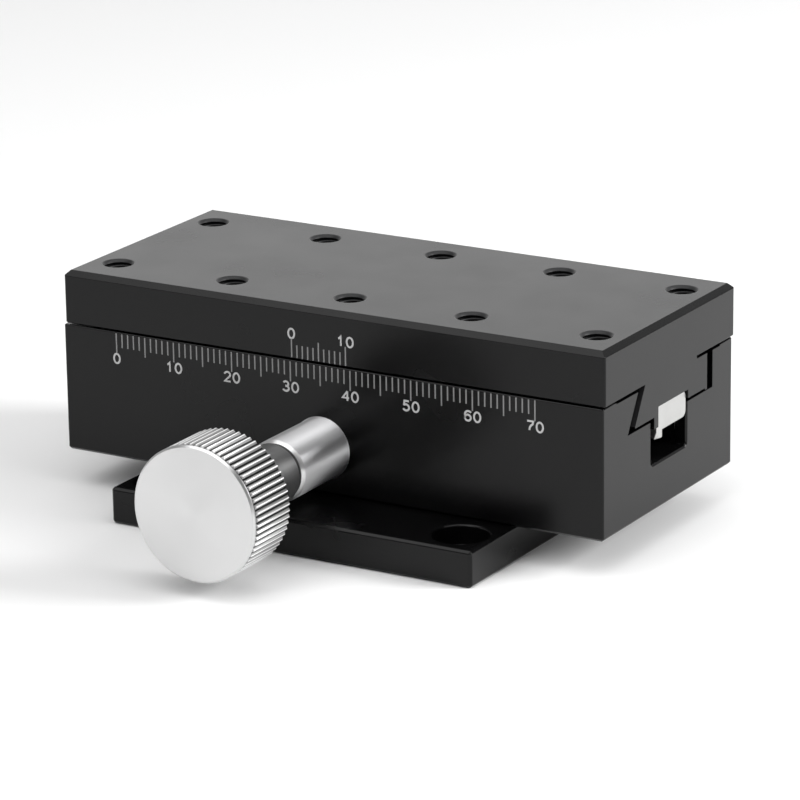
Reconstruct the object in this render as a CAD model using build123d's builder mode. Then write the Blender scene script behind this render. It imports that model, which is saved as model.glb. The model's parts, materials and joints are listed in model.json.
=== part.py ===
from build123d import *
from math import acos, cos, pi, radians, sin, tan
import os

# Manual dovetail slide: a table on a 60 degree dovetail, driven by a slanted rack and a knob.
# Millimetres, +Z up, X along the travel, -Y towards the knob.
# The origin is on the bottom plate's underside, below the middle of the base block.

# Base and table share their outline
slide_length = 90.0
slide_width = 40.0
corner_radius = 0.4
seam_gap = 0.25
seam_edge = 0.15

# Bottom plate
plate_length = 60.0
plate_width = 64.0
plate_thickness = 5.5
plate_shift = 0.65
plate_edge = 0.4
plate_hole_margin_x = 5.0
plate_hole_margin_y = 6.0
plate_hole_radius = 2.25
plate_bore_radius = 4.1
plate_bore_depth = 3.0

# Base block
base_height = 19.4
base_edge = 0.4
land_width = 4.0
land_relief = 0.3
channel_width = 11.0
channel_depth = 12.4
channel_corner = 0.6
mouth_edge = 0.25
end_relief_length = 2.5
end_relief_width = 1.1

# Table and dovetail
table_thickness = 8.0
table_top_chamfer = 0.8
table_shift = 0.3
neck_width = 16.0
dovetail_depth = 5.5
dovetail_angle = 60.0
dovetail_corner = 0.3
slide_clearance = 0.03
floor_gap = 0.6
table_hole_count = 5
table_hole_margin_x = 5.0
table_hole_margin_y = 7.0
table_hole_radius = 2.0
table_hole_rim = 0.35

# Gib and its adjusting screws
gib_foot = 0.58
gib_slit = 1.5
gib_top_gap = 0.6
gib_end_gap = 0.1
gib_screw_count = 4
gib_screw_margin = 12.0
gib_screw_recess = 1.9
gib_screw_drop = 3.1

# Rack and pinion teeth
tooth_module = 0.5
pressure_angle = 20.0
helix_angle = 20.0
pinion_teeth = 15
tooth_backlash = 0.07
tooth_root_factor = 1.25
pinion_layers = 6
rack_phase = 0.46

# Rack
rack_width = 9.0
rack_offset = 0.7
rack_end_gap = 0.3
rack_back = 3.9
rack_corner = 1.0
rack_front_corner = 0.3
rack_end_dress = 1.7
rack_end_tooth = 1.7
rack_side_gap = 0.05
rack_pocket_gap = 0.15
rib_width = 1.3
rib_height = 1.75
rack_screw_margin = 3.7

# Knob shaft line
knob_x = -0.7
axis_drop = 12.5
shaft_radius = 2.5
shaft_clearance = 0.03
shaft_end_gap = 0.5
washer_thickness = 0.5
washer_gap = 0.05
sleeve_radius = 4.6
sleeve_reach = 12.2
sleeve_chamfer = 0.45
bore_clearance = 0.02
rear_washer_radius = 3.3
rear_bush_radius = 4.0
rear_bush_length = 7.0
friction_washer_radius = 4.0
hub_gap = 0.7
hub_radius = 4.4
hub_length = 11.1
knob_radius = 9.9
knob_width = 9.7
knob_edge = 0.2
knob_lip = 0.35
knob_groove = 0.3
knob_rim = 0.45
knob_wall = 4.0
knurl_count = 68
knurl_depth = 0.32
knob_screw_place = 7.0
knob_screw_recess = 0.1

# Stop pin in the way's floor and its groove in the table
travel = 70.0
stop_pin_radius = 1.5
stop_pin_x = 6.0
stop_pin_rise = 1.5
stop_pin_depth = 5.0
stop_pin_tip = 0.3
stop_groove_depth = 1.4
stop_clearance = 0.1

# Set screws, M3
thread_gap = 0.05
hole_extra = 1.0
set_radius = 1.5
set_socket = 0.87
set_socket_depth = 1.2
sleeve_screw_length = 5.0

# Flat head screws, M4
flat_radius = 2.0
flat_head_radius = 3.8
flat_length = 10.0
flat_recess = 0.3
flat_socket = 1.44
flat_socket_depth = 1.5
flat_margin_x = 8.0
flat_margin_y = 8.0

# Cap head screws, M2
cap_radius = 1.0
cap_head_radius = 1.9
cap_head_height = 2.0
cap_length = 5.0
cap_socket = 0.87
cap_socket_depth = 1.0

# Levels and places worked out from the sizes above
half_width = slide_width / 2
base_top = plate_thickness + base_height
relief_top = base_top - land_relief
table_bottom = base_top + seam_gap
table_top = table_bottom + table_thickness
male_bottom = table_bottom - dovetail_depth
floor = male_bottom - floor_gap
channel_floor = base_top - channel_depth
flank_slope = 1 / tan(radians(dovetail_angle))
flank_gap = slide_clearance / sin(radians(dovetail_angle))
axis_z = base_top - axis_drop
front = -half_width


def male_flank(z):
    """Half width of the table's dovetail at height z."""
    return neck_width / 2 + (table_bottom - z) * flank_slope


gib_back = male_flank(floor) + flank_gap + gib_foot
gib_wall = gib_back + gib_slit
gib_screw_length = half_width - gib_back - gib_screw_recess
gib_top = table_bottom - gib_top_gap
gib_screw_z = base_top - gib_screw_drop
gib_screw_spacing = (slide_length - 2 * gib_screw_margin) / (gib_screw_count - 1)
table_hole_spacing_x = (slide_length - 2 * table_hole_margin_x) / (table_hole_count - 1)
table_hole_spacing_y = slide_width - 2 * table_hole_margin_y
plate_hole_spacing_x = plate_length - 2 * plate_hole_margin_x
plate_hole_spacing_y = plate_width - 2 * plate_hole_margin_y
flat_spacing_x = plate_length - 2 * flat_margin_x
flat_spacing_y = slide_width - 2 * flat_margin_y
flat_sink_radius = flat_head_radius + flat_recess + 2 * thread_gap
sleeve_screw_y = front + land_width + set_radius
stop_pin_y = (channel_width / 2 + male_flank(male_bottom)) / 2

# Tooth sizes in the plane across the shaft
transverse_module = tooth_module / cos(radians(helix_angle))
tooth_pitch = pi * transverse_module
tan_pressure = tan(radians(pressure_angle)) / cos(radians(helix_angle))
pitch_radius = pinion_teeth * transverse_module / 2
tip_radius = pitch_radius + tooth_module
root_radius = pitch_radius - tooth_root_factor * tooth_module
base_radius = pitch_radius / (1 + tan_pressure**2) ** 0.5
rack_pitch_z = axis_z + pitch_radius
rack_tip = rack_pitch_z - tooth_module
rack_root = rack_pitch_z + tooth_root_factor * tooth_module
rack_top = rack_root + rack_back
rack_front = rack_offset - rack_width / 2
rack_rear = rack_offset + rack_width / 2
rack_length = slide_length - 2 * rack_end_gap
rack_screw_spacing = rack_length - 2 * rack_screw_margin
rib_bottom = male_bottom - rib_height

# Places along the shaft
shaft_axis = Axis((knob_x, 0, axis_z), (0, 1, 0))
shaft_plane = Plane(origin=(knob_x, 0, axis_z), x_dir=(1, 0, 0), z_dir=(0, 0, 1))
rear_bush_y = channel_width / 2
rear_washer_y = rear_bush_y - washer_gap - washer_thickness
pinion_length = channel_width - 2 * washer_thickness
pinion_rear = rear_washer_y - washer_gap
pinion_front = pinion_rear - pinion_length
front_washer_y = pinion_front - washer_gap - washer_thickness
sleeve_inner = front_washer_y - washer_gap
sleeve_outer = front - sleeve_reach
hub_rear = sleeve_outer - hub_gap
knob_rear = hub_rear - hub_length
knob_front = knob_rear - knob_width
shaft_front = knob_front + knob_wall
shaft_rear = rear_bush_y + rear_bush_length - shaft_end_gap
bore_radius = sleeve_radius + bore_clearance

os.makedirs("parts", exist_ok=True)


def save(part, name):
    """Name a finished piece and write it to its own file."""
    part.label = name
    export_step(part, f"parts/{name}.step")


def upright(x, y):
    """Plane through a vertical axis at x, y, with its own y upwards."""
    return Plane(origin=(x, y, 0), x_dir=(1, 0, 0), z_dir=(0, -1, 0))


def across(x, z):
    """Plane through an axis along Y at x, z, with its own y along +Y."""
    return Plane(origin=(x, 0, z), x_dir=(1, 0, 0), z_dir=(0, 0, 1))


def corner_edges(block):
    """The four upright edges at a block's outer corners."""
    upright_edges = block.edges().filter_by(Axis.Z).group_by(Axis.Y)
    return upright_edges[0] + upright_edges[-1]


def in_channel(edge):
    """Whether an edge lies on the walls or the floor of the rack channel."""
    centre = edge.center()
    beside = abs(centre.Y) < channel_width / 2 + channel_corner
    return beside and channel_floor - channel_corner < centre.Z < floor


def seam_edges(faces):
    """The outermost long edges of the faces that meet at the seam."""
    long_edges = faces.edges().filter_by(Axis.X).group_by(Axis.Y)
    return long_edges[0] + long_edges[-1]


def rod_outline(radius, low, high, bevel=0.0):
    """Half outline of a round rod from its axis, its high end bevelled if asked."""
    points = [(0, low), (radius, low), (radius, high - bevel), (radius - bevel, high), (0, high)]
    if bevel == 0:
        points.pop(3)
    Polyline(*points, close=True)


def ring_outline(inner, outer, low, high):
    """Half outline of a plain ring."""
    Polyline((inner, low), (outer, low), (outer, high), (inner, high), close=True)


# Bottom plate: corner counterbores for fixing it down, countersinks below for the base
with BuildPart() as bottom_plate:
    with BuildSketch():
        with Locations((plate_shift, 0)):
            Rectangle(plate_length, plate_width)
    extrude(amount=plate_thickness)
    chamfer(bottom_plate.edges(), plate_edge)
    with Locations(Plane.XY.offset(plate_thickness)):
        with Locations((plate_shift, 0)):
            with GridLocations(plate_hole_spacing_x, plate_hole_spacing_y, 2, 2):
                CounterBoreHole(plate_hole_radius, plate_bore_radius, plate_bore_depth)
    with Locations(Plane.XY.rotated((180, 0, 0))):
        with GridLocations(flat_spacing_x, flat_spacing_y, 2, 2):
            CounterSinkHole(flat_radius + thread_gap, flat_sink_radius, counter_sink_angle=90)
save(bottom_plate.part, "bottom_plate")

# Base block: one long section with the dovetail way, the gib slit and the rack channel
with BuildPart() as base_block:
    with BuildSketch(Plane.YZ) as base_section:
        with BuildLine():
            Polyline(
                (-half_width, plate_thickness),
                (half_width, plate_thickness),
                (half_width, base_top),
                (half_width - land_width, base_top),
                (half_width - land_width, relief_top),
                (gib_wall, relief_top),
                (gib_wall, floor),
                (channel_width / 2, floor),
                (channel_width / 2, channel_floor),
                (-channel_width / 2, channel_floor),
                (-channel_width / 2, floor),
                (-male_flank(floor) - flank_gap, floor),
                (-male_flank(relief_top) - flank_gap, relief_top),
                (land_width - half_width, relief_top),
                (land_width - half_width, base_top),
                (-half_width, base_top),
                close=True,
            )
        make_face()
        fillet(base_section.vertices().group_by(Axis.Y)[1], channel_corner)
    extrude(amount=slide_length / 2, both=True)
    fillet(corner_edges(base_block), corner_radius)
    chamfer(base_block.faces().sort_by(Axis.Z)[0].edges(), base_edge)
    chamfer(seam_edges(base_block.faces().sort_by(Axis.Z)[-2:]), seam_edge)
    channel_ends = base_block.faces().filter_by(Axis.X).edges()
    chamfer(channel_ends.filter_by(in_channel), mouth_edge)
    # The way is opened out at both ends of the front flank
    with BuildSketch(
        Plane.YZ.offset(slide_length / 2), Plane.YZ.offset(end_relief_length - slide_length / 2)
    ):
        with BuildLine():
            Polyline(
                (-male_flank(floor), floor),
                (-male_flank(base_top), base_top),
                (-male_flank(base_top) - end_relief_width, base_top),
                (-male_flank(floor) - end_relief_width, floor),
                close=True,
            )
        make_face()
    extrude(amount=-end_relief_length, mode=Mode.SUBTRACT)
    # One straight bore carries the sleeve and leaves room for the pinion
    with BuildSketch(shaft_plane):
        with BuildLine():
            rear_bore = rear_bush_radius + bore_clearance
            Polyline(
                (0, front - hole_extra),
                (bore_radius, front - hole_extra),
                (bore_radius, rear_bush_y),
                (rear_bore, rear_bush_y),
                (rear_bore, rear_bush_y + rear_bush_length),
                (0, rear_bush_y + rear_bush_length),
                close=True,
            )
        make_face()
    revolve(axis=shaft_axis, mode=Mode.SUBTRACT)
    # Tapped holes for the plate, the gib screws, the sleeve screw and the stop pin
    with Locations(Plane.XY.offset(plate_thickness).rotated((180, 0, 0))):
        with GridLocations(flat_spacing_x, flat_spacing_y, 2, 2):
            Hole(flat_radius + thread_gap, flat_length + hole_extra - plate_thickness)
    with Locations(Plane(origin=(0, half_width, gib_screw_z), x_dir=(-1, 0, 0), z_dir=(0, 1, 0))):
        with GridLocations(gib_screw_spacing, 0, gib_screw_count, 1):
            Hole(set_radius + thread_gap, half_width - gib_wall)
    with Locations((knob_x, sleeve_screw_y, relief_top)):
        Hole(set_radius + thread_gap, relief_top - axis_z)
    with Locations((stop_pin_x, stop_pin_y, floor)):
        Hole(stop_pin_radius + bore_clearance, stop_pin_depth)
save(base_block.part, "base_block")

# Gib: a wedge strip that rests on the floor and closes the rear flank
with BuildPart() as gib:
    with BuildSketch(Plane.YZ):
        with BuildLine():
            Polyline(
                (male_flank(floor) + flank_gap, floor),
                (gib_back, floor),
                (gib_back, gib_top),
                (male_flank(gib_top) + flank_gap, gib_top),
                close=True,
            )
        make_face()
    extrude(amount=slide_length / 2 - gib_end_gap, both=True)
save(gib.part, "gib")

# Gib screws stand in the rear wall and press the gib across the slit
for index in range(gib_screw_count):
    screw_x = (index - (gib_screw_count - 1) / 2) * gib_screw_spacing
    with BuildPart() as gib_screw:
        with BuildSketch(across(screw_x, gib_screw_z)):
            with BuildLine():
                rod_outline(set_radius, gib_back, gib_back + gib_screw_length)
            make_face()
        revolve(axis=Axis((screw_x, 0, gib_screw_z), (0, 1, 0)))
        with BuildSketch(
            Plane(
                origin=(screw_x, gib_back + gib_screw_length, gib_screw_z),
                x_dir=(1, 0, 0),
                z_dir=(0, 1, 0),
            )
        ):
            RegularPolygon(set_socket, 6)
        extrude(amount=-set_socket_depth, mode=Mode.SUBTRACT)
    save(gib_screw.part, f"gib_screw_{index + 1}")

# Flat head screws pull the base down onto the plate from below
flat_places = [
    (side_x * flat_spacing_x / 2, side_y * flat_spacing_y / 2) for side_x in (-1, 1) for side_y in (-1, 1)
]
for index, (screw_x, screw_y) in enumerate(flat_places):
    with BuildPart() as plate_screw:
        with BuildSketch(upright(screw_x, screw_y)):
            with BuildLine():
                Polyline(
                    (0, flat_recess),
                    (flat_head_radius, flat_recess),
                    (flat_radius, flat_recess + flat_head_radius - flat_radius),
                    (flat_radius, flat_length),
                    (0, flat_length),
                    close=True,
                )
            make_face()
        revolve(axis=Axis((screw_x, screw_y, 0), (0, 0, 1)))
        with BuildSketch(Plane.XY.offset(flat_recess)):
            with Locations((screw_x, screw_y)):
                RegularPolygon(flat_socket, 6)
        extrude(amount=flat_socket_depth, mode=Mode.SUBTRACT)
    save(plate_screw.part, f"plate_screw_{index + 1}")

# Table: plate and male dovetail in one, with a rib beside the rack's seat
with BuildPart() as table_plate:
    with BuildSketch(Plane.YZ.offset(table_shift)) as table_section:
        with BuildLine():
            Polyline(
                (-half_width, table_bottom),
                (-half_width, table_top),
                (half_width, table_top),
                (half_width, table_bottom),
                (neck_width / 2, table_bottom),
                (male_flank(male_bottom), male_bottom),
                (rack_rear + rack_pocket_gap, male_bottom),
                (rack_rear + rack_pocket_gap, rack_top),
                (rack_front - rack_side_gap, rack_top),
                (rack_front - rack_side_gap, rib_bottom),
                (rack_front - rack_side_gap - rib_width, rib_bottom),
                (rack_front - rack_side_gap - rib_width, male_bottom),
                (-male_flank(male_bottom), male_bottom),
                (-neck_width / 2, table_bottom),
                close=True,
            )
        make_face()
        low = table_section.vertices().group_by(Axis.Y)[1].sort_by(Axis.X)
        chamfer([low[0], low[-1]], dovetail_corner)
    extrude(amount=slide_length / 2, both=True)
    chamfer(table_plate.faces().sort_by(Axis.Z)[-1].edges(), table_top_chamfer)
    fillet(corner_edges(table_plate), corner_radius)
    chamfer(seam_edges(table_plate.faces().filter_by(Plane.XY).group_by(Axis.Z)[-2]), seam_edge)
    with Locations(Plane.XY.offset(table_top)):
        with Locations((table_shift, 0)):
            with GridLocations(table_hole_spacing_x, table_hole_spacing_y, table_hole_count, 2):
                CounterSinkHole(
                    table_hole_radius, table_hole_radius + table_hole_rim, table_thickness + seam_gap
                )
    # Blind groove for the stop pin
    with BuildSketch(Plane.XY.offset(male_bottom)):
        with Locations((table_shift + stop_pin_x, stop_pin_y)):
            SlotCenterToCenter(travel, 2 * (stop_pin_radius + stop_clearance))
    extrude(amount=stop_groove_depth, mode=Mode.SUBTRACT)
    # Tapped holes above the rack screws
    with Locations(Plane.XY.offset(rack_top).rotated((180, 0, 0))):
        with Locations((table_shift, -rack_offset)):
            with GridLocations(rack_screw_spacing, 0, 2, 1):
                Hole(cap_radius + thread_gap, cap_length)
save(table_plate.part, "table_plate")


def rack_gap_centres():
    """Places along X of the gaps, in the plane of the shaft axis, from end to end."""
    start = knob_x + rack_phase
    reach = rack_length / 2 + tooth_pitch + rack_width
    count = int(reach / tooth_pitch)
    return [start + step * tooth_pitch for step in range(-count, count + 1)]


# Rack: a bar with slanted trapezoid teeth on its underside
with BuildPart() as rack:
    with BuildSketch(Plane.YZ.offset(table_shift)) as rack_section:
        with Locations((rack_offset, (rack_top + rack_tip) / 2)):
            Rectangle(rack_width, rack_top - rack_tip)
        fillet(rack_section.vertices().group_by(Axis.Y)[-1].sort_by(Axis.X)[0], rack_front_corner)
        fillet(rack_section.vertices().group_by(Axis.Y)[-1].sort_by(Axis.X)[-1], rack_corner)
    extrude(amount=rack_length / 2, both=True)
    gap_start = rack_front - hole_extra
    with BuildSketch(Plane(origin=(0, gap_start, 0), x_dir=(1, 0, 0), z_dir=(0, -1, 0))):
        for centre in rack_gap_centres():
            gap_x = centre + gap_start * tan(radians(helix_angle))
            half_root = tooth_pitch / 4 - (rack_root - rack_pitch_z) * tan_pressure
            half_mouth = tooth_pitch / 4 + (rack_pitch_z - rack_tip + hole_extra) * tan_pressure
            with BuildLine():
                Polyline(
                    (gap_x - half_mouth, rack_tip - hole_extra),
                    (gap_x + half_mouth, rack_tip - hole_extra),
                    (gap_x + half_root, rack_root),
                    (gap_x - half_root, rack_root),
                    close=True,
                )
            make_face()
    slant = Vector(tan(radians(helix_angle)), 1, 0)
    extrude(amount=(rack_width + 2 * hole_extra) * slant.length, dir=slant, mode=Mode.SUBTRACT)
    # The knife-edged ends of the last teeth are dressed off and the bar's corner there is rounded
    for side in (-1, 1):
        kept_tooth = rack_offset - side * (rack_width / 2 - rack_end_tooth)
        bar_side = rack_offset + side * rack_width / 2
        with BuildSketch(Plane.YZ.offset(table_shift + side * rack_length / 2)):
            with BuildLine():
                Polyline(
                    (bar_side, rack_root + rack_corner),
                    (bar_side + side * hole_extra, rack_root + rack_corner),
                    (bar_side + side * hole_extra, rack_tip - hole_extra),
                    (kept_tooth, rack_tip - hole_extra),
                    (kept_tooth, rack_root),
                    (bar_side - side * rack_corner, rack_root),
                )
                TangentArc(
                    (bar_side - side * rack_corner, rack_root),
                    (bar_side, rack_root + rack_corner),
                    tangent=(side, 0),
                )
            make_face()
        extrude(amount=-side * rack_end_dress, mode=Mode.SUBTRACT)
    # Counterbores for the rack screws, outside the stretch that the pinion uses
    with Locations(Plane.XY.offset(rack_tip).rotated((180, 0, 0))):
        with Locations((table_shift, -rack_offset)):
            with GridLocations(rack_screw_spacing, 0, 2, 1):
                CounterBoreHole(
                    cap_radius + thread_gap,
                    cap_head_radius + thread_gap,
                    rack_root - rack_tip + cap_head_height,
                )
save(rack.part, "rack")

# Rack screws
for index, side in enumerate((-1, 1)):
    screw_x = table_shift + side * rack_screw_spacing / 2
    head_low = rack_root
    head_high = rack_root + cap_head_height
    with BuildPart() as rack_screw:
        with BuildSketch(upright(screw_x, rack_offset)):
            with BuildLine():
                Polyline(
                    (0, head_low),
                    (cap_head_radius, head_low),
                    (cap_head_radius, head_high),
                    (cap_radius, head_high),
                    (cap_radius, head_high + cap_length),
                    (0, head_high + cap_length),
                    close=True,
                )
            make_face()
        revolve(axis=Axis((screw_x, rack_offset, 0), (0, 0, 1)))
        with BuildSketch(Plane.XY.offset(head_low)):
            with Locations((screw_x, rack_offset)):
                RegularPolygon(cap_socket, 6)
        extrude(amount=cap_socket_depth, mode=Mode.SUBTRACT)
    save(rack_screw.part, f"rack_screw_{index + 1}")


def involute(radius):
    """Involute function of the pressure angle at a radius."""
    angle = acos(base_radius / radius)
    return tan(angle) - angle


def tooth_half_angle(radius):
    """Half of the pinion tooth's angle at a radius."""
    at_pitch = (tooth_pitch / 2 - tooth_backlash) / (2 * pitch_radius)
    return at_pitch + involute(pitch_radius) - involute(max(radius, base_radius))


def tooth_point(radius, side):
    """Point on a pinion tooth's flank, the tooth pointing along local x."""
    angle = side * tooth_half_angle(radius)
    return (radius * cos(angle), radius * sin(angle))


# Pinion: the same tooth section turned step by step along the shaft
with BuildSketch() as pinion_tooth:
    middle_radius = (base_radius + tip_radius) / 2
    inside_radius = root_radius - tooth_module / 2
    with BuildLine():
        Line(tooth_point(inside_radius, -1), tooth_point(base_radius, -1))
        ThreePointArc(tooth_point(base_radius, -1), tooth_point(middle_radius, -1), tooth_point(tip_radius, -1))
        Line(tooth_point(tip_radius, -1), tooth_point(tip_radius, 1))
        ThreePointArc(tooth_point(tip_radius, 1), tooth_point(middle_radius, 1), tooth_point(base_radius, 1))
        Line(tooth_point(base_radius, 1), tooth_point(inside_radius, 1))
        Line(tooth_point(inside_radius, 1), tooth_point(inside_radius, -1))
    make_face()
with BuildSketch() as pinion_section:
    Circle(root_radius)
    with PolarLocations(0, pinion_teeth):
        add(pinion_tooth.sketch)


def pinion_plane(y):
    """Plane across the shaft at y, turned so that the teeth follow the rack's slant."""
    turn = (rack_phase + y * tan(radians(helix_angle))) / pitch_radius
    return Plane(origin=(knob_x, y, axis_z), x_dir=(sin(turn), 0, cos(turn)), z_dir=(0, 1, 0))


with BuildPart() as pinion:
    for layer in range(pinion_layers + 1):
        with BuildSketch(pinion_plane(pinion_front + layer * pinion_length / pinion_layers)):
            add(pinion_section.sketch)
    loft(ruled=True)
    with BuildSketch(pinion_plane(pinion_front)):
        Circle(shaft_radius)
    extrude(amount=pinion_length, mode=Mode.SUBTRACT)
save(pinion.part, "pinion")

# Shaft: plain ground bar from the knob to the rear bush
with BuildPart() as pinion_shaft:
    with BuildSketch(shaft_plane):
        with BuildLine():
            rod_outline(shaft_radius, shaft_front, shaft_rear)
        make_face()
    revolve(axis=shaft_axis)
save(pinion_shaft.part, "pinion_shaft")

# Sleeve: polished bush that carries the shaft in front, bevelled at its outer end
with BuildPart() as pinion_sleeve:
    with BuildSketch(shaft_plane):
        with BuildLine():
            Polyline(
                (shaft_radius + shaft_clearance, sleeve_inner),
                (sleeve_radius, sleeve_inner),
                (sleeve_radius, sleeve_outer + sleeve_chamfer),
                (sleeve_radius - sleeve_chamfer, sleeve_outer),
                (shaft_radius + shaft_clearance, sleeve_outer),
                close=True,
            )
        make_face()
    revolve(axis=shaft_axis)
save(pinion_sleeve.part, "pinion_sleeve")


# Rings on the shaft: thrust washers beside the pinion, the rear bush, a washer behind the hub
shaft_rings = {
    "front_washer": (tip_radius, front_washer_y, front_washer_y + washer_thickness),
    "rear_washer": (rear_washer_radius, rear_washer_y, rear_washer_y + washer_thickness),
    "rear_bush": (rear_bush_radius, rear_bush_y, rear_bush_y + rear_bush_length),
    "friction_washer": (friction_washer_radius, hub_rear + washer_gap, sleeve_outer - washer_gap),
}
for ring_name, (ring_radius, ring_low, ring_high) in shaft_rings.items():
    with BuildPart() as shaft_ring:
        with BuildSketch(shaft_plane):
            with BuildLine():
                ring_outline(shaft_radius + shaft_clearance, ring_radius, ring_low, ring_high)
            make_face()
        revolve(axis=shaft_axis)
    save(shaft_ring.part, ring_name)

# Screw that holds the sleeve, reached from above when the table is off
with BuildPart() as sleeve_screw:
    sleeve_top = axis_z + sleeve_radius
    with BuildSketch(upright(knob_x, sleeve_screw_y)):
        with BuildLine():
            rod_outline(set_radius, sleeve_top, sleeve_top + sleeve_screw_length)
        make_face()
    revolve(axis=Axis((knob_x, sleeve_screw_y, 0), (0, 0, 1)))
    with BuildSketch(Plane.XY.offset(sleeve_top + sleeve_screw_length)):
        with Locations((knob_x, sleeve_screw_y)):
            RegularPolygon(set_socket, 6)
    extrude(amount=-set_socket_depth, mode=Mode.SUBTRACT)
save(sleeve_screw.part, "sleeve_screw")

# Stop pin in the floor of the way
with BuildPart() as stop_pin:
    with BuildSketch(upright(stop_pin_x, stop_pin_y)):
        with BuildLine():
            rod_outline(stop_pin_radius, floor - stop_pin_depth, floor + stop_pin_rise, stop_pin_tip)
        make_face()
    revolve(axis=Axis((stop_pin_x, stop_pin_y, 0), (0, 0, 1)))
save(stop_pin.part, "stop_pin")

# Knob: knurled head with a plain lip in front, and a plain hub, bored from behind for the shaft
knurl_inner = knob_radius - knurl_depth
knurl_front = knob_front + knob_lip + knob_groove
knurl_half = pi * knurl_inner / knurl_count
with BuildSketch() as knurl_ridge:
    with BuildLine():
        Polyline(
            (knurl_inner - knurl_depth, -knurl_half),
            (knurl_inner, -knurl_half),
            (knob_radius, 0),
            (knurl_inner, knurl_half),
            (knurl_inner - knurl_depth, knurl_half),
            close=True,
        )
    make_face()
with BuildPart() as knob:
    with BuildSketch(shaft_plane):
        with BuildLine():
            Polyline(
                (0, knob_front),
                (knob_radius - knob_edge, knob_front),
                (knob_radius, knob_front + knob_edge),
                (knob_radius, knob_front + knob_lip),
                (knurl_inner, knob_front + knob_lip),
                (knurl_inner, knob_rear - knob_rim),
                (knurl_inner - knob_rim, knob_rear),
                (hub_radius, knob_rear),
                (hub_radius, hub_rear),
                (shaft_radius, hub_rear),
                (shaft_radius, shaft_front),
                (0, shaft_front),
                close=True,
            )
        make_face()
    revolve(axis=shaft_axis)
    with BuildSketch(Plane(origin=(knob_x, knurl_front, axis_z), x_dir=(1, 0, 0), z_dir=(0, 1, 0))):
        with PolarLocations(0, knurl_count):
            add(knurl_ridge.sketch)
    extrude(amount=knob_rear - knob_rim - knurl_front)
    with Locations(
        Plane(origin=(knob_x, hub_rear - knob_screw_place, axis_z - hub_radius), z_dir=(0, 0, -1))
    ):
        Hole(set_radius + thread_gap, hub_radius - shaft_radius / 2)
save(knob.part, "knob")

# Screw that fixes the knob on the shaft, in the underside of the hub
with BuildPart() as knob_screw:
    knob_screw_y = hub_rear - knob_screw_place
    knob_screw_low = axis_z - hub_radius + knob_screw_recess
    with BuildSketch(upright(knob_x, knob_screw_y)):
        with BuildLine():
            rod_outline(set_radius, knob_screw_low, axis_z - shaft_radius)
        make_face()
    revolve(axis=Axis((knob_x, knob_screw_y, 0), (0, 0, 1)))
    with BuildSketch(Plane.XY.offset(knob_screw_low)):
        with Locations((knob_x, knob_screw_y)):
            RegularPolygon(set_socket, 6)
    extrude(amount=set_socket_depth, mode=Mode.SUBTRACT)
save(knob_screw.part, "knob_screw")
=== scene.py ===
"""Manual dovetail slide: the finishes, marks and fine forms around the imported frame."""
import json
from math import cos, pi, radians, sin

import bmesh
import bpy
from mathutils import Matrix, Vector

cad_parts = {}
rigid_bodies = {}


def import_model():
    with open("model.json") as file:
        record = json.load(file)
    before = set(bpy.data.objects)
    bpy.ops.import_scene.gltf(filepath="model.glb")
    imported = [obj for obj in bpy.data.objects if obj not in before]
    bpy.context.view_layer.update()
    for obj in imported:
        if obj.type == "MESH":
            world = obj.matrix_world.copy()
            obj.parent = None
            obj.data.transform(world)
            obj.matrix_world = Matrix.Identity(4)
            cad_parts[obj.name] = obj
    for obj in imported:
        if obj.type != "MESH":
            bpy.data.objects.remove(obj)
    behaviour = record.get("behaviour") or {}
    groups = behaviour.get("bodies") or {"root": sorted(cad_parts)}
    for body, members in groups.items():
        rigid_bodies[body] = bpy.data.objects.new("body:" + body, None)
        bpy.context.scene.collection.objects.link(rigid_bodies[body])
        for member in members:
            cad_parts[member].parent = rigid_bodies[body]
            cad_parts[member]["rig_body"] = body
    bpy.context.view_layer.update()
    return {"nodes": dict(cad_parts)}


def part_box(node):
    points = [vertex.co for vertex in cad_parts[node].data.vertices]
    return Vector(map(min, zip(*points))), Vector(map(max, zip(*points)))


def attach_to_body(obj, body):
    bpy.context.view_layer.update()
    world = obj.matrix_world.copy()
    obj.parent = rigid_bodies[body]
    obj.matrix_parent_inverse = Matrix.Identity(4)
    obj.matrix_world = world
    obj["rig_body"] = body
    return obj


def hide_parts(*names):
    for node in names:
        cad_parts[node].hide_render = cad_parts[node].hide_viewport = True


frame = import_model()

MM = 0.001

# Camera, fitted to the edges and the scale marks
camera_place = Vector((317.70, -533.98, 208.89)) * MM
camera_azimuth = radians(30.70)
camera_elevation = radians(17.40)
camera_roll = radians(-0.82)
camera_lens = 199.23
camera_sensor = 36.0
camera_reach = 20.0

# Broken edges: all of a piece's, its upright corners, and the rims of holes on its top
block_edge = 0.05 * MM
block_corner = 0.40 * MM
table_rim = 0.16 * MM
plate_edge = 0.12 * MM
plate_corner = 0.35 * MM
plate_rim = 0.40 * MM
rack_edge = 0.12 * MM
small_edge = 0.08 * MM
edge_steps = 2
corner_steps = 3
# A rim or a countersink lies this far in from the piece's sides
rim_margin = 0.8 * MM
countersink_margin = 2.0 * MM
# Upward part of the normals of a countersink's faces, from the steepest to the flattest
countersink_slopes = (0.2, 0.95)

# Angles between faces: joined as one, shaded smooth, and broken as an edge
flat_angle = radians(0.2)
smooth_angle = radians(30)
edge_angle = radians(35)
# Points nearer than this are joined, and flat faces rule the shading by this weight
weld_gap = 0.0005 * MM
flat_weight = 90

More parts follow.
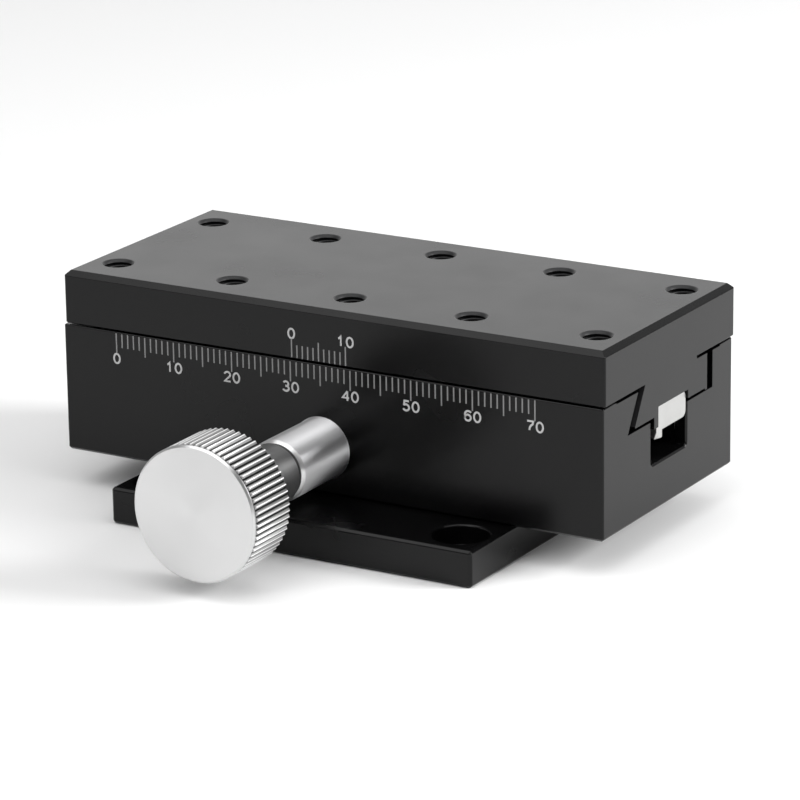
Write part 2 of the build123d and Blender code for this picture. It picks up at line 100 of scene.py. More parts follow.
# Scale on the base's front and vernier on the table's front
mark_rise = 0.012 * MM
mark_width = 0.22 * MM
scale_start = -35.7 * MM
scale_pitch = 1.0 * MM
scale_divisions = 70
scale_gap = 0.20 * MM
scale_short = 2.1 * MM
scale_long = 3.0 * MM
vernier_start = -5.4 * MM
vernier_pitch = 0.9 * MM
vernier_divisions = 10
vernier_gap = 0.45 * MM
vernier_short = 1.9 * MM
vernier_long = 2.8 * MM
long_every = 5
numbered_every = 10

# Numbers beside the marks
digit_height = 1.42 * MM
digit_weight = 0.29 * MM
scale_number_gap = 0.12 * MM
vernier_number_gap = 0.05 * MM
# Shares of a numeral's height: the step to the next one, and its middle as it is drawn
digit_step = 1.08
digit_middle = 0.30
# A drawn numeral is widened by this much
digit_stretch = 1.20
# Where a numeral has more strokes, each stands this much prouder than the one before
stroke_step = 0.003 * MM
# Degrees in a step of an arc, and the fewest steps
arc_step = 15
arc_fewest = 3
# A stroke is widened at a bend by one over this at most
bend_limit = 0.5
# Ends nearer than this close a stroke
same_place = 1e-6

# Knob: lip and groove at the face, knurled rim, and hub
head_width = 9.7 * MM
face_edge = 0.28 * MM
face_lip = 0.45 * MM
lip_groove = 0.35 * MM
knurl_lead = 0.3 * MM
knurl_count = 66
knurl_depth = 0.42 * MM
knurl_steps = 16
knurl_land = 0.125
hub_radius = 4.4 * MM
hub_edge = 0.15 * MM
hub_cove = 0.045 * MM
# Share of the ridges' height left where the ends of the knurl are coned, ring by ring
knurl_cuts = (0.0, 0.35, 0.7, 1.0)
# Tones of the knurl: share of the way from root to crest, and how light it is there; the dark flanks
# and grooves are painted shade
knurl_shade_tones = ((0.0, 0.02), (0.25, 0.06), (0.5, 0.42), (0.86, 0.55), (0.97, 0.92))

# Sleeve
bore_radius = 2.5 * MM
bore_gap = 0.03 * MM
sleeve_chamfer = 0.45 * MM
sleeve_break = 0.03 * MM
sleeve_break_length = 0.06 * MM
sleeve_foot = 0.12 * MM
foot_seat = 0.02 * MM
round_steps = 128

# Threads in the table's tapped holes
tapped_columns = 5
tapped_margin_x = 5.0 * MM
tapped_margin_y = 7.0 * MM
thread_radius = 2.0 * MM
thread_pitch = 0.7 * MM
thread_ridge = 0.294 * MM
thread_length = 7.2 * MM
thread_start = 0.5 * MM
thread_steps = 20

# Floor
floor_half = 6.0
floor_gap = 0.02 * MM
floor_tone = 0.92

# Most of a noise pattern's values lie in this span
noise_span = (0.3, 0.7)

# Studio walls: direction, where the wall fades in and is full, and its strength
sky_walls = (
    ((-0.50, 0.85, 0.16), 0.5, 0.95, 0.87),
    ((0, 1, 0), 0.5, 1.0, 0.30),
    ((0, 0, 1), 0.6, 1.0, 0.60),
    ((0, -1, 0), 0.3, 0.9, 0.16),
    ((-1, 0, 0), 0.3, 0.9, 0.35),
    ((1, 0, 0), 0.3, 0.9, 0.15),
)
# Soft boxes: name, place and aim in metres, width and height, and power in watts
soft_boxes = (
    ("overhead", (0.35, -0.05, 0.7), (0, 0, 0), 0.35, 0.8, 1.2),
    ("front_top", (-0.12, -0.38, 0.75), (0, 0, 0.02), 0.95, 0.45, 2.4),
    ("right", (0.78, 0.30, 0.40), (0.10, 0.06, 0), 0.35, 0.35, 8.8),
    ("front", (-0.10, -0.80, 0.60), (-0.05, -0.10, 0), 0.35, 0.35, 1.2),
)


def box_of(name):
    """Lowest and highest corner of a CAD node."""
    low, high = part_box(name)
    return Vector(low), Vector(high)


base_low, base_high = box_of("base_block")
table_low, table_high = box_of("table_plate")
shaft_low, shaft_high = box_of("pinion_shaft")
knob_low, knob_high = box_of("knob")
sleeve_low, sleeve_high = box_of("pinion_sleeve")
shaft_x = (shaft_low.x + shaft_high.x) / 2
shaft_z = (shaft_low.z + shaft_high.z) / 2
seam_z = base_high.z
knob_radius = knob_high.z - shaft_z


def node(owner, kind, **inputs):
    """Add a shader node and set or link its inputs, named by their labels with _ for spaces."""
    made = owner.node_tree.nodes.new(kind)
    for label, value in inputs.items():
        socket = made.inputs[label.replace("_", " ")]
        if isinstance(value, bpy.types.NodeSocket):
            owner.node_tree.links.new(value, socket)
        else:
            socket.default_value = value
    return made


def shader_of(material):
    """A material's Principled shader."""
    return material.node_tree.nodes["Principled BSDF"]


def new_material(name, color, metallic, roughness, specular=0.5):
    """A material whose Principled shader has these values."""
    material = bpy.data.materials.new(name)
    material.use_nodes = True
    shader = shader_of(material)
    shader.inputs["Base Color"].default_value = (*color, 1)
    shader.inputs["Metallic"].default_value = metallic
    shader.inputs["Roughness"].default_value = roughness
    shader.inputs["Specular IOR Level"].default_value = specular
    material.diffuse_color = (*color, 1)
    return material


def connect(material, value, label):
    """Link a value to the shader."""
    material.node_tree.links.new(value, shader_of(material).inputs[label])


def object_place(material, origin=(0, 0, 0), stretch=(1, 1, 1)):
    """Object coordinates measured from a point, in millimetres times the stretch."""
    coordinates = node(material, "ShaderNodeTexCoord")
    mapping = node(material, "ShaderNodeMapping", Vector=coordinates.outputs["Object"])
    mapping.inputs["Scale"].default_value = [s / MM for s in stretch]
    mapping.inputs["Location"].default_value = [-o * s / MM for o, s in zip(origin, stretch)]
    return mapping.outputs["Vector"]


def noise(material, place, scale, detail=2.0):
    """Noise in space, with its scale in cycles per millimetre."""
    made = node(material, "ShaderNodeTexNoise", Vector=place, Scale=scale, Detail=detail)
    return made.outputs["Fac"]


def line_noise(material, value, scale, detail=3.0):
    """Noise along one value only, for turned rings."""
    made = node(material, "ShaderNodeTexNoise", Scale=scale, Detail=detail)
    made.noise_dimensions = "1D"
    material.node_tree.links.new(value, made.inputs["W"])
    return made.outputs["Fac"]


def remap(owner, value, low, high, from_low=0.0, from_high=1.0):
    """Map a value's range onto another."""
    made = node(
        owner,
        "ShaderNodeMapRange",
        Value=value,
        From_Min=from_low,
        From_Max=from_high,
        To_Min=low,
        To_Max=high,
    )
    return made.outputs["Result"]


def math_node(owner, operation, *values):
    """The result of a math node on linked or plain values."""
    made = node(owner, "ShaderNodeMath")
    made.operation = operation
    for socket, value in zip(made.inputs, values):
        if isinstance(value, bpy.types.NodeSocket):
            owner.node_tree.links.new(value, socket)
        else:
            socket.default_value = value
    return made.outputs[0]


def shade_between(material, factor, dark, light):
    """Let the colour wander between two tones."""
    mix = node(material, "ShaderNodeMix")
    mix.data_type = "RGBA"
    # The colour sockets come after those for numbers and vectors, under the same labels
    dark_socket, light_socket, mixed = mix.inputs[6], mix.inputs[7], mix.outputs[2]
    dark_socket.default_value = (*dark, 1)
    light_socket.default_value = (*light, 1)
    material.node_tree.links.new(factor, mix.inputs[0])
    connect(material, mixed, "Base Color")


def relief(material, height, depth):
    """Fine relief, its depth in metres."""
    bump = node(material, "ShaderNodeBump", Height=height, Distance=depth, Strength=1.0)
    connect(material, bump.outputs["Normal"], "Normal")


def from_axis(material, place):
    """Distance from the knob's axis and place along it, in millimetres."""
    split = node(material, "ShaderNodeSeparateXYZ", Vector=place)
    squares = [math_node(material, "POWER", split.outputs[axis], 2.0) for axis in ("X", "Z")]
    distance = math_node(material, "SQRT", math_node(material, "ADD", *squares))
    return distance, split.outputs["Y"]


def anodised():
    """Black anodised aluminium over a fine blasted surface."""
    made = new_material("black_anodised", (0.002, 0.002, 0.0021), metallic=0.0, roughness=0.28)
    shader_of(made).inputs["IOR"].default_value = 1.33
    place = object_place(made)
    clouds = noise(made, place, scale=0.09, detail=3.0)
    grain = noise(made, place, scale=9.0)
    shade_between(made, clouds, (0.0012, 0.0012, 0.0013), (0.0026, 0.0026, 0.0028))
    connect(made, remap(made, clouds, 0.22, 0.28, *noise_span), "Roughness")
    relief(made, grain, depth=0.0012 * MM)
    return made


def cut_black():
    """Black countersinks and threads, duller and a little greyer than the blasted faces."""
    made = new_material("cut_black", (0.022, 0.022, 0.023), metallic=0.0, roughness=0.45, specular=0.3)
    wear = noise(made, object_place(made), scale=0.8, detail=3.0)
    shade_between(made, wear, (0.016, 0.016, 0.017), (0.030, 0.030, 0.031))
    return made


def knurled_metal():
    """The knurl: bright crests, with painted shade darkening the flanks and the grooves towards the
    root.
    """
    made = new_material("knurled_aluminium", (0.8, 0.8, 0.8), metallic=1.0, roughness=0.4)
    distance, _ = from_axis(made, object_place(made, (shaft_x, 0, shaft_z)))
    root, crest = (knob_radius - knurl_depth) / MM, knob_radius / MM
    height = remap(made, distance, low=0.0, high=1.0, from_low=root, from_high=crest)
    # Painted shade: the colour darkens from the crest down to the root
    ramp = node(made, "ShaderNodeValToRGB", Fac=height)
    stops = ramp.color_ramp.elements
    for place, _ in knurl_shade_tones[1:-1]:
        stops.new(place)
    for stop, (place, tone) in zip(stops, knurl_shade_tones):
        stop.position = place
        stop.color = (tone, tone, tone, 1)
    connect(made, ramp.outputs["Color"], "Base Color")
    dullness = remap(made, height, low=0.40, high=0.60, from_low=0.8, from_high=0.97)
    connect(made, dullness, "Roughness")
    return made


def turned(name, color, roughness, stretch, ring_pitch, ring_spread):
    """Metal turned about the knob's axis: highlights drawn out round it, and faint duller rings."""
    made = new_material(name, color, 1.0, roughness)
    shader_of(made).inputs["Anisotropic"].default_value = stretch
    shader_of(made).inputs["Anisotropic Rotation"].default_value = 0.25
    tangent = node(made, "ShaderNodeTangent")
    tangent.direction_type = "RADIAL"
    tangent.axis = "Y"
    connect(made, tangent.outputs["Tangent"], "Tangent")
    place = object_place(made, (shaft_x, 0, shaft_z))
    travelled = math_node(made, "ADD", *from_axis(made, place))
    clouds = noise(made, place, scale=0.35)
    rings = line_noise(made, travelled, scale=1.0 / ring_pitch)
    dullness = math_node(
        made,
        "ADD",
        remap(made, clouds, roughness - 0.02, roughness + 0.02, *noise_span),
        remap(made, rings, -ring_spread, ring_spread, *noise_span),
    )
    connect(made, dullness, "Roughness")
    return made


def ground(name, color, roughness, metallic=1.0):
    """A surface ground lengthwise, with faint lines and stains."""
    made = new_material(name, color, metallic, roughness)
    streaks = noise(made, object_place(made, stretch=(0.15, 3.0, 3.0)), scale=2.0, detail=3.0)
    clouds = noise(made, object_place(made), scale=0.3)
    shade_between(made, clouds, [tone * 0.85 for tone in color], color)
    dullness = remap(made, streaks, roughness - 0.06, roughness + 0.08, *noise_span)
    connect(made, dullness, "Roughness")
    relief(made, streaks, depth=0.0008 * MM)
    return made


def marking(name, tone):
    """Laser marking: the oxide bleached to a slightly grainy grey."""
    made = new_material(name, (tone, tone, tone), metallic=0.0, roughness=0.55)
    grain = noise(made, object_place(made), scale=12.0)
    shade_between(made, grain, (tone * 0.8,) * 3, (tone * 1.2,) * 3)
    relief(made, grain, depth=0.002 * MM)
    return made


materials = {
    "black_anodised": anodised(),
    "cut_black": cut_black(),
    "turned_aluminium": turned(
        "turned_aluminium",
        (0.65, 0.65, 0.65),
        roughness=0.32,
        stretch=0.5,
        ring_pitch=0.5,
        ring_spread=0.02,
    ),
    "knurled_aluminium": knurled_metal(),
    "polished_steel": turned(
        "polished_steel",
        (0.79, 0.79, 0.80),
        roughness=0.55,
        stretch=1.0,
        ring_pitch=0.5,
        ring_spread=0.03,
    ),
    "bright_steel": ground("bright_steel", (0.57, 0.57, 0.56), roughness=0.36),
    "black_steel": ground("black_steel", (0.045, 0.045, 0.05), roughness=0.38, metallic=0.7),
    "bronze": turned(
        "bronze",
        (0.55, 0.38, 0.18),
        roughness=0.35,
        stretch=0.0,
        ring_pitch=0.2,
        ring_spread=0.03,
    ),
    "black_nylon": ground("black_nylon", (0.02, 0.02, 0.02), roughness=0.5, metallic=0.0),
}
line_material = marking("marked_lines", 0.25)
number_material = marking("marked_numbers", 0.55)


def finish_mesh(piece, slot_name):
    """Give a piece its material and its smooth and sharp edges."""
    mesh = piece.data
    mesh.materials.clear()
    mesh.materials.append(materials[slot_name])
    mesh.polygons.foreach_set("material_index", [0] * len(mesh.polygons))
    mesh.shade_smooth()
    mesh.set_sharp_from_angle(angle=smooth_angle)


def object_with(name, content):
    """A new object in the scene, with a mesh, a light or a camera."""
    made = bpy.data.objects.new(name, content)
    bpy.context.scene.collection.objects.link(made)
    return made


def object_from(builder, name):
    """A new object in the scene from a bmesh."""
    mesh = bpy.data.meshes.new(name)
    builder.to_mesh(mesh)
    builder.free()
    return object_with(name, mesh)


def apply_modifiers(piece):
    """Turn an object with modifiers into a plain mesh."""
    graph = bpy.context.evaluated_depsgraph_get()
    mesh = bpy.data.meshes.new_from_object(piece.evaluated_get(graph))
    piece.modifiers.clear()
    piece.data = mesh


def attach(piece, body, slot_name, *replaced):
    """Say what a piece rides on and hide the CAD nodes it stands for; the finish it is given is not
    used.
    """
    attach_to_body(piece, body)
    if replaced:
        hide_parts(*replaced)


def edge_width(line, low, high, edge, corner, rim):
    """How wide an edge is broken: corners stand upright at the box's corners, rims lie on its top."""
    ends = [end.co for end in line.verts]
    if line.calc_face_angle(0) < edge_angle:
        return 0
    if corner and all(
        min(end.x - low.x, high.x - end.x) < edge and min(end.y - low.y, high.y - end.y) < edge
        for end in ends
    ):
        return corner
    if rim and all(
        low.x + rim_margin < end.x < high.x - rim_margin
        and low.y + rim_margin < end.y < high.y - rim_margin
        and end.z > high.z - edge
        for end in ends
    ):
        return rim
    return edge


def machined(name, slot_name, edge, corner=0, rim=0):
    """The CAD piece with its faces joined and its edges broken, in place of its node."""
    source = frame["nodes"][name]
    builder = bmesh.new()
    builder.from_mesh(source.data)
    bmesh.ops.remove_doubles(builder, verts=builder.verts, dist=weld_gap)
    bmesh.ops.dissolve_limit(
        builder, angle_limit=flat_angle, verts=builder.verts, edges=builder.edges
    )
    low, high = box_of(name)
    widest = max(edge, corner, rim)
    weights = builder.edges.layers.float.new("bevel_weight_edge")
    for line in builder.edges:
        line[weights] = edge_width(line, low, high, edge, corner, rim) / widest
    made = object_from(builder, name + "_machined")
    finish_mesh(made, slot_name)
    bevel = made.modifiers.new("edge", "BEVEL")
    bevel.width = widest
    bevel.segments = corner_steps if corner or rim else edge_steps
    bevel.limit_method = "WEIGHT"
    bevel.use_clamp_overlap = False
    even = made.modifiers.new("flat faces", "WEIGHTED_NORMAL")
    even.weight = flat_weight
    apply_modifiers(made)
    attach(made, source["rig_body"], slot_name, name)
    return made


def dull_countersinks(table):
    """Give the table's countersinks their own finish."""
    table.data.materials.append(materials["cut_black"])
    margin = countersink_margin
    steepest, flattest = countersink_slopes
    for side in table.data.polygons:
        place = side.center
        inside = (
            table_low.x + margin < place.x < table_high.x - margin
            and table_low.y + margin < place.y < table_high.y - margin
        )
        side.material_index = int(inside and steepest < side.normal.z < flattest)


def add_ring(builder, along, radii):
    """A ring of vertices round the shaft's axis, one for each radius."""
    ring = []
    for step, radius in enumerate(radii):
        angle = 2 * pi * step / len(radii)
        spot = (shaft_x + radius * cos(angle), along, shaft_z + radius * sin(angle))
        ring.append(builder.verts.new(spot))
    return ring


def join_rings(builder, ring, following):
    """Faces all round between two rings of vertices."""
    sides = []
    for step in range(len(ring)):
        other = (step + 1) % len(ring)
        corners = (ring[step], ring[other], following[other], following[step])
        sides.append(builder.faces.new(corners))
    return sides


def knurl_radius(step):
    """Radius of the knurl over one ridge: a narrow land, straight flanks and a sharp root."""
    share = abs(2 * (step % knurl_steps) / knurl_steps - 1)
    drop = max(0, share - knurl_land) / (1 - knurl_land)
    return knob_radius - knurl_depth * drop


def knurled_knob():
    """Knob and hub in one: satin face with a turned lip, knurled rim, and a plain hub."""
    front, rear = knob_low.y, knob_high.y
    head_rear = front + head_width
    root = knob_radius - knurl_depth
    lip_profile = (
        (front, knob_radius - face_edge),
        (front + face_edge, knob_radius),
        (front + face_lip, knob_radius),
        (front + face_lip, root),
    )
    hub_profile = (
        (head_rear, root - face_edge),
        (head_rear, hub_radius + hub_edge),
        (head_rear + hub_cove, hub_radius + hub_cove),
        (head_rear + hub_edge, hub_radius),
        (rear - hub_edge, hub_radius),
        (rear, hub_radius - hub_edge),
        (rear, bore_radius),
        (shaft_low.y, bore_radius),
    )
    knurl_front = front + face_lip + lip_groove
    knurl_rear = head_rear - face_edge
    cuts = [(knurl_front + knurl_lead * share, share) for share in knurl_cuts]
    cuts += [(knurl_rear - knurl_lead * share, share) for share in reversed(knurl_cuts)]

    ridges = [knurl_radius(step) for step in range(knurl_count * knurl_steps)]
    builder = bmesh.new()
    rings = [add_ring(builder, along, [radius] * len(ridges)) for along, radius in lip_profile]
    for along, share in cuts:
        cone = knob_radius - knurl_depth * (1 - share)
        rings.append(add_ring(builder, along, [min(cone, ridge) for ridge in ridges]))
    rings += [add_ring(builder, along, [radius] * len(ridges)) for along, radius in hub_profile]

    # The groove behind the lip takes the knurl's material too, with its painted shade
    first_knurled = len(lip_profile) - 2
    last_knurled = len(lip_profile) + len(cuts) - 1
    knurled_sides = []
    for index, (ring, following) in enumerate(zip(rings, rings[1:])):
        sides = join_rings(builder, ring, following)
        if first_knurled <= index < last_knurled:
            knurled_sides += sides
    builder.faces.new(rings[0])
    builder.faces.new(rings[-1])
    bmesh.ops.recalc_face_normals(builder, faces=builder.faces)
    builder.faces.index_update()
    knurled_indices = [side.index for side in knurled_sides]
    made = object_from(builder, "knurled_knob")
    finish_mesh(made, "turned_aluminium")
    made.data.materials.append(materials["knurled_aluminium"])
    for index in knurled_indices:
        made.data.polygons[index].material_index = 1
    attach(made, "knob", "turned_aluminium", "knob")


def polished_sleeve():
    """Polished sleeve with a chamfered outer end and a small foot at the base."""
    low, high = sleeve_low.y, sleeve_high.y
    radius = sleeve_high.z - shaft_z
    face = base_low.y
    profile = (
        (low, bore_radius + bore_gap),
        (low, radius - sleeve_chamfer),
        (low + sleeve_chamfer, radius - sleeve_break),
        (low + sleeve_chamfer + sleeve_break_length, radius),
        (face - sleeve_foot, radius),
        (face, radius + sleeve_foot),
        (face + foot_seat, radius),
        (high, radius),
        (high, bore_radius + bore_gap),
    )
    builder = bmesh.new()
    rings = [add_ring(builder, along, [radius] * round_steps) for along, radius in profile]
    for ring, following in zip(rings, rings[1:] + rings[:1]):
        join_rings(builder, ring, following)
    bmesh.ops.recalc_face_normals(builder, faces=builder.faces)
    made = object_from(builder, "polished_sleeve")
    finish_mesh(made, "polished_steel")
    made.data.materials.append(materials["turned_aluminium"])
    for side in made.data.polygons:
        side.material_index = int(side.center.y < low + sleeve_chamfer)
    attach(made, "base", "polished_steel", "pinion_sleeve")


def tree_node(tree, kind, inputs=(), **settings):
    """Add a node to a tree, set its properties and link or set its inputs."""
    made = tree.nodes.new(kind)
    for key, value in settings.items():
        setattr(made, key, value)
    for label, value in inputs:
        socket = made.inputs[label]
        if isinstance(value, bpy.types.NodeSocket):
            tree.links.new(value, socket)
        else:
            socket.default_value = value
    return made


def new_tree(name, inputs):
    """An empty geometry node tree with named inputs, and their sockets inside it."""
    tree = bpy.data.node_groups.new(name, "GeometryNodeTree")
    tree.interface.new_socket("Geometry", in_out="INPUT", socket_type="NodeSocketGeometry")
    for label, kind in inputs:
        tree.interface.new_socket(label, in_out="INPUT", socket_type=kind)
    tree.interface.new_socket("Geometry", in_out="OUTPUT", socket_type="NodeSocketGeometry")
    return tree, tree_node(tree, "NodeGroupInput").outputs


def tree_math(tree, operation, *values):
    """The result of a math node in a tree."""
    return tree_node(tree, "ShaderNodeMath", enumerate(values), operation=operation).outputs[0]


def end_tree(tree, points, instance, material, scale=(1, 1, 1)):
    """Put an instance on each point, make them all real, and give them their material."""
    placed = tree_node(
        tree,
        "GeometryNodeInstanceOnPoints",
        (("Points", points), ("Instance", instance), ("Scale", scale)),
    )
    real = tree_node(tree, "GeometryNodeRealizeInstances", (("Geometry", placed.outputs[0]),))
    painted = tree_node(
        tree,
        "GeometryNodeSetMaterial",
        (("Geometry", real.outputs[0]), ("Material", material)),
    )
    tree_node(tree, "NodeGroupOutput", (("Geometry", painted.outputs[0]),))


def socket_of(tree, name):
    """Identifier of a node group's input."""
    for item in tree.interface.items_tree:
        if item.name == name and item.in_out == "INPUT":
            return item.identifier
    raise KeyError(name)


def grown(name, tree, values, place=(0, 0, 0), points=()):
    """Run a tree on loose points, and move the plain result to its place."""
    mesh = bpy.data.meshes.new(name)
    mesh.from_pydata(list(points), [], [])
    made = object_with(name, mesh)
    modifier = made.modifiers.new("grow", "NODES")
    modifier.node_group = tree
    for label, value in values.items():
        modifier[socket_of(tree, label)] = value
    apply_modifiers(made)
    made.data.transform(Matrix.Translation(place))
    return made


def mark_tree():
    """Marks in a row along X, some of them long, each a thin raised block."""
    tree, given = new_tree(
        "scale_marks",
        (
            ("Count", "NodeSocketInt"),
            ("Long Every", "NodeSocketInt"),
            ("Pitch", "NodeSocketFloat"),
            ("Width", "NodeSocketFloat"),
            ("Rise", "NodeSocketFloat"),
            ("Short", "NodeSocketFloat"),
            ("Long", "NodeSocketFloat"),
            ("Direction", "NodeSocketFloat"),
            ("Material", "NodeSocketMaterial"),
        ),
    )
    index = tree_node(tree, "GeometryNodeInputIndex").outputs[0]
    past_long = tree_math(tree, "MODULO", index, given["Long Every"])
    is_long = tree_math(tree, "LESS_THAN", past_long, 0.5)
    extra = tree_math(tree, "SUBTRACT", given["Long"], given["Short"])
    reach = tree_math(tree, "MULTIPLY_ADD", is_long, extra, given["Short"])
    signed_reach = tree_math(tree, "MULTIPLY", reach, given["Direction"])
    middle = tree_math(tree, "MULTIPLY", signed_reach, 0.5)
    step = tree_node(tree, "ShaderNodeCombineXYZ", (("X", given["Pitch"]),))
    shift = tree_node(tree, "ShaderNodeCombineXYZ", (("Z", middle),))
    size = tree_node(
        tree,
        "ShaderNodeCombineXYZ",
        (("X", given["Width"]), ("Y", given["Rise"]), ("Z", reach)),
    )
    row = tree_node(
        tree, "GeometryNodeMeshLine", (("Count", given["Count"]), ("Offset", step.outputs[0]))
    )
    middles = tree_node(
        tree,
        "GeometryNodeSetPosition",
        (("Geometry", row.outputs["Mesh"]), ("Offset", shift.outputs[0])),
    )
    # Half of each block is sunk in the face, so it is twice as deep as it rises
    block = tree_node(tree, "GeometryNodeMeshCube", (("Size", (1.0, 2.0, 1.0)),))
    end_tree(tree, middles.outputs[0], block.outputs["Mesh"], given["Material"], size.outputs[0])
    return tree


def mark_row(name, body, tree, start, direction, divisions, pitch, short, long):
    """A row of marks from a start point, reaching up or down from it."""
    values = {
        "Count": divisions + 1,
        "Long Every": long_every,
        "Pitch": pitch,
        "Width": mark_width,
        "Rise": mark_rise,
        "Short": short,
        "Long": long,
        "Direction": direction,
        "Material": line_material,
    }
    attach(grown(name, tree, values, start), body, "black_anodised")


def scale_marks():
    """The scale below the seam and the vernier above it."""
    tree = mark_tree()
    mark_row(
        "base_scale",
        "base",
        tree,
        Vector((scale_start, base_low.y, seam_z - scale_gap)),
        direction=-1.0,
        divisions=scale_divisions,
        pitch=scale_pitch,
        short=scale_short,
        long=scale_long,
    )
    mark_row(
        "vernier",
        "table",
        tree,
        Vector((vernier_start, base_low.y, seam_z + vernier_gap)),
        direction=1.0,
        divisions=vernier_divisions,
        pitch=vernier_pitch,
        short=vernier_short,
        long=vernier_long,
    )


def arc(x, z, radius_x, radius_z, start, end):
    """Points of an arc from one angle to another, in degrees."""
    count = max(arc_fewest, int(abs(end - start) / arc_step))
    angles = [radians(start + (end - start) * step / count) for step in range(count + 1)]
    return [(x + radius_x * cos(a), z + radius_z * sin(a)) for a in angles]


# Strokes of an engraver's numerals, one unit tall
numerals = {
    "0": [arc(0.30, 0.50, 0.30, 0.50, 90, 450)],
    "1": [[(0.08, 0.74), (0.20, 0.80), (0.33, 1.0), (0.33, 0.0)]],
    "2": [arc(0.30, 0.71, 0.28, 0.29, 170, -35) + [(0.03, 0.0), (0.60, 0.0)]],
    "3": [arc(0.28, 0.755, 0.25, 0.245, 155, -100), arc(0.28, 0.27, 0.29, 0.27, 100, -160)],
    "4": [[(0.46, 0.0), (0.46, 1.0)], [(0.46, 1.0), (0.0, 0.30), (0.62, 0.30)]],
    "5": [[(0.56, 1.0), (0.13, 1.0), (0.08, 0.50)], arc(0.28, 0.32, 0.29, 0.32, 135, -155)],
    "6": [arc(0.36, 0.62, 0.33, 0.38, 40, 180) + arc(0.31, 0.31, 0.28, 0.31, 180, -180)],
    "7": [[(0.02, 1.0), (0.60, 1.0)] + arc(0.95, 0.10, 0.72, 0.75, 125, 182)],
}


def stroke_ribbon(builder, points, rise, place):
    """A flat ribbon along a stroke, standing a little proud of the front face."""
    path = [Vector(point) for point in points]
    closed = (path[0] - path[-1]).length < same_place
    if closed:
        path.pop()
    last = len(path) - 1
    rows = []
    for index, point in enumerate(path):
        before = path[index - 1] if index > 0 or closed else point
        after = path[(index + 1) % len(path)] if index < last or closed else point
        out = (after - point).normalized()
        into = out if before is point else (point - before).normalized()
        along = (into + out).normalized()
        reach = digit_weight / digit_height / 2 / max(bend_limit, along.dot(into))
        side = Vector((-along.y, along.x)) * reach
        left, right = (point + side) * digit_height, (point - side) * digit_height
        corners = ((rise, left), (rise, right), (-rise, right), (-rise, left))
        rows.append(
            [builder.verts.new(place + Vector((spot.x, -lift, spot.y))) for lift, spot in corners]
        )
    for row, following in zip(rows, rows[1:]):
        join_rings(builder, row, following)
    if closed:
        join_rings(builder, rows[-1], rows[0])
    else:
        builder.faces.new(rows[0])
        builder.faces.new(rows[-1])


def number(name, value, place, body):
    """A number on the front face, centred above a point."""
    builder = bmesh.new()
    figures = str(value)
    for index, figure in enumerate(figures):
        middle = (index - (len(figures) - 1) / 2) * digit_step
        for layer, stroke in enumerate(numerals[figure]):
            points = [((x - digit_middle) * digit_stretch + middle, z) for x, z in stroke]
            stroke_ribbon(builder, points, mark_rise + layer * stroke_step, place)
    bmesh.ops.recalc_face_normals(builder, faces=builder.faces)
    made = object_from(builder, name)
    made.data.materials.append(number_material)
    attach(made, body, "black_anodised")


def numbers():
    """Numbers below the scale's marks and above the vernier's."""
    under = seam_z - scale_gap - scale_long - scale_number_gap - digit_height
    over = seam_z + vernier_gap + vernier_long + vernier_number_gap
    for value in range(0, scale_divisions + 1, numbered_every):
        place = Vector((scale_start + value * scale_pitch, base_low.y, under))
        number(f"scale_number_{value}", value, place, "base")
    for value in range(0, vernier_divisions + 1, numbered_every):
        place = Vector((vernier_start + value * vernier_pitch, base_low.y, over))
        number(f"vernier_number_{value}", value, place, "table")


def thread_tree():
    """A thread's ridge: a three-sided profile swept along a helix, at each given point."""
    tree, given = new_tree(
        "thread_ridges",
        (
            ("Radius", "NodeSocketFloat"),
            ("Pitch", "NodeSocketFloat"),
            ("Turns", "NodeSocketFloat"),
            ("Steps", "NodeSocketInt"),
            ("Ridge", "NodeSocketFloat"),
            ("Material", "NodeSocketMaterial"),
        ),
    )
    height = tree_math(tree, "MULTIPLY", given["Pitch"], given["Turns"])
    helix = tree_node(
        tree,
        "GeometryNodeCurveSpiral",
        (
            ("Resolution", given["Steps"]),
            ("Rotations", given["Turns"]),
            ("Start Radius", given["Radius"]),
            ("End Radius", given["Radius"]),
            ("Height", height),
        ),
    )
    ridge = tree_node(
        tree,
        "GeometryNodeCurvePrimitiveCircle",
        (("Resolution", 3), ("Radius", given["Ridge"])),
    )
    swept = tree_node(
        tree,
        "GeometryNodeCurveToMesh",
        (("Curve", helix.outputs[0]), ("Profile Curve", ridge.outputs[0]), ("Fill Caps", True)),
    )
    end_tree(tree, given["Geometry"], swept.outputs[0], given["Material"])
    return tree


def tapped_holes():
    """Threads in the table's two rows of holes, from a little above the seam upwards."""
    first_x = table_low.x + tapped_margin_x
    last_x = table_high.x - tapped_margin_x
    step_x = (last_x - first_x) / (tapped_columns - 1)
    points = [
        (first_x + column * step_x, y, seam_z + thread_start)
        for column in range(tapped_columns)
        for y in (table_low.y + tapped_margin_y, table_high.y - tapped_margin_y)
    ]
    values = {
        "Radius": thread_radius,
        "Pitch": thread_pitch,
        "Turns": thread_length / thread_pitch,
        "Steps": thread_steps,
        "Ridge": thread_ridge,
        "Material": materials["cut_black"],
    }
    made = grown("table_threads", thread_tree(), values, points=points)
    attach(made, "table", "black_anodised")


def small_pieces():
    """Screws, washers, bush, shaft, pinion and pin, with their edges broken."""
    screws = [name for name in frame["nodes"] if "screw" in name]
    for name in screws:
        machined(name, "black_steel", small_edge)
    for name, slot_name in (
        ("front_washer", "bronze"),
        ("rear_washer", "bronze"),
        ("rear_bush", "bronze"),
        ("friction_washer", "black_nylon"),
        ("pinion_shaft", "bright_steel"),
        ("pinion", "bright_steel"),
        ("stop_pin", "bright_steel"),
    ):
        machined(name, slot_name, small_edge)


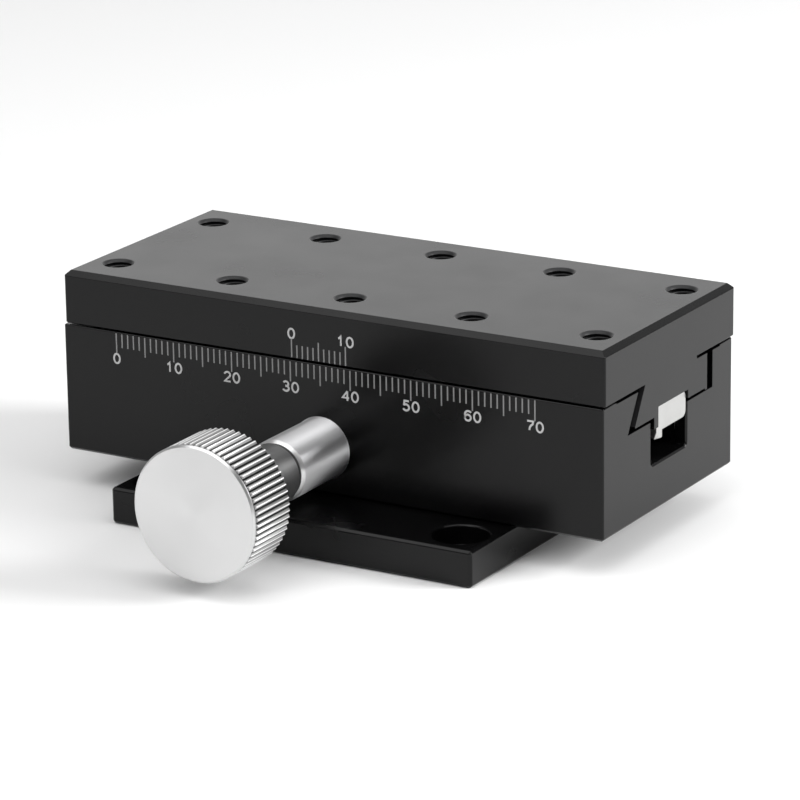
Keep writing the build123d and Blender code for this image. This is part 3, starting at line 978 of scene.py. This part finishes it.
def set_camera():
    """The camera where the fit puts it."""
    camera = bpy.data.cameras.new("camera")
    camera.lens = camera_lens
    camera.sensor_width = camera_sensor
    camera.clip_end = camera_reach
    holder = object_with("camera", camera)
    turn = (
        Matrix.Rotation(camera_azimuth, 4, "Z")
        @ Matrix.Rotation(radians(90) - camera_elevation, 4, "X")
        @ Matrix.Rotation(camera_roll, 4, "Z")
    )
    holder.matrix_world = Matrix.Translation(camera_place) @ turn
    bpy.context.scene.camera = holder


def softbox(name, place, aim, width, height, power):
    """A rectangular lamp at a place, turned to its aim."""
    light = bpy.data.lights.new(name, "AREA")
    light.shape = "RECTANGLE"
    light.size = width
    light.size_y = height
    light.energy = power
    holder = object_with(name, light)
    holder.location = place
    direction = Vector(aim) - Vector(place)
    holder.rotation_euler = direction.to_track_quat("-Z", "Y").to_euler()


def sky():
    """White studio walls, brightest behind the object and overhead, each fading in by direction."""
    world = bpy.data.worlds.new("sky")
    bpy.context.scene.world = world
    world.use_nodes = True
    direction = node(world, "ShaderNodeTexCoord").outputs["Generated"]
    total = None
    for towards, low, high, strength in sky_walls:
        share = node(world, "ShaderNodeVectorMath")
        share.operation = "DOT_PRODUCT"
        share.inputs[1].default_value = towards
        world.node_tree.links.new(direction, share.inputs[0])
        fade = node(
            world,
            "ShaderNodeMapRange",
            Value=share.outputs["Value"],
            From_Min=low,
            From_Max=high,
            To_Max=strength,
        )
        fade.interpolation_type = "SMOOTHSTEP"
        wall = fade.outputs["Result"]
        total = wall if total is None else math_node(world, "ADD", total, wall)
    background = world.node_tree.nodes["Background"]
    background.inputs["Color"].default_value = (1, 1, 1, 1)
    world.node_tree.links.new(total, background.inputs["Strength"])


def stage():
    """Pale floor, studio walls and soft boxes."""
    builder = bmesh.new()
    bmesh.ops.create_grid(builder, x_segments=1, y_segments=1, size=floor_half)
    floor = object_from(builder, "floor")
    floor.data.transform(Matrix.Translation((0, 0, -floor_gap)))
    floor_material = new_material(
        "floor", (floor_tone, floor_tone, floor_tone), metallic=0.0, roughness=0.9, specular=0.0
    )
    floor.data.materials.append(floor_material)
    sky()
    for box in soft_boxes:
        softbox(*box)
    bpy.context.scene.view_settings.view_transform = "Standard"


machined("base_block", "black_anodised", block_edge, block_corner)
table_plate = machined("table_plate", "black_anodised", block_edge, block_corner, table_rim)
dull_countersinks(table_plate)
machined("bottom_plate", "black_anodised", plate_edge, plate_corner, plate_rim)
machined("gib", "black_anodised", block_edge)
machined("rack", "bright_steel", rack_edge)
knurled_knob()
polished_sleeve()
scale_marks()
numbers()
tapped_holes()
small_pieces()
set_camera()
stage()
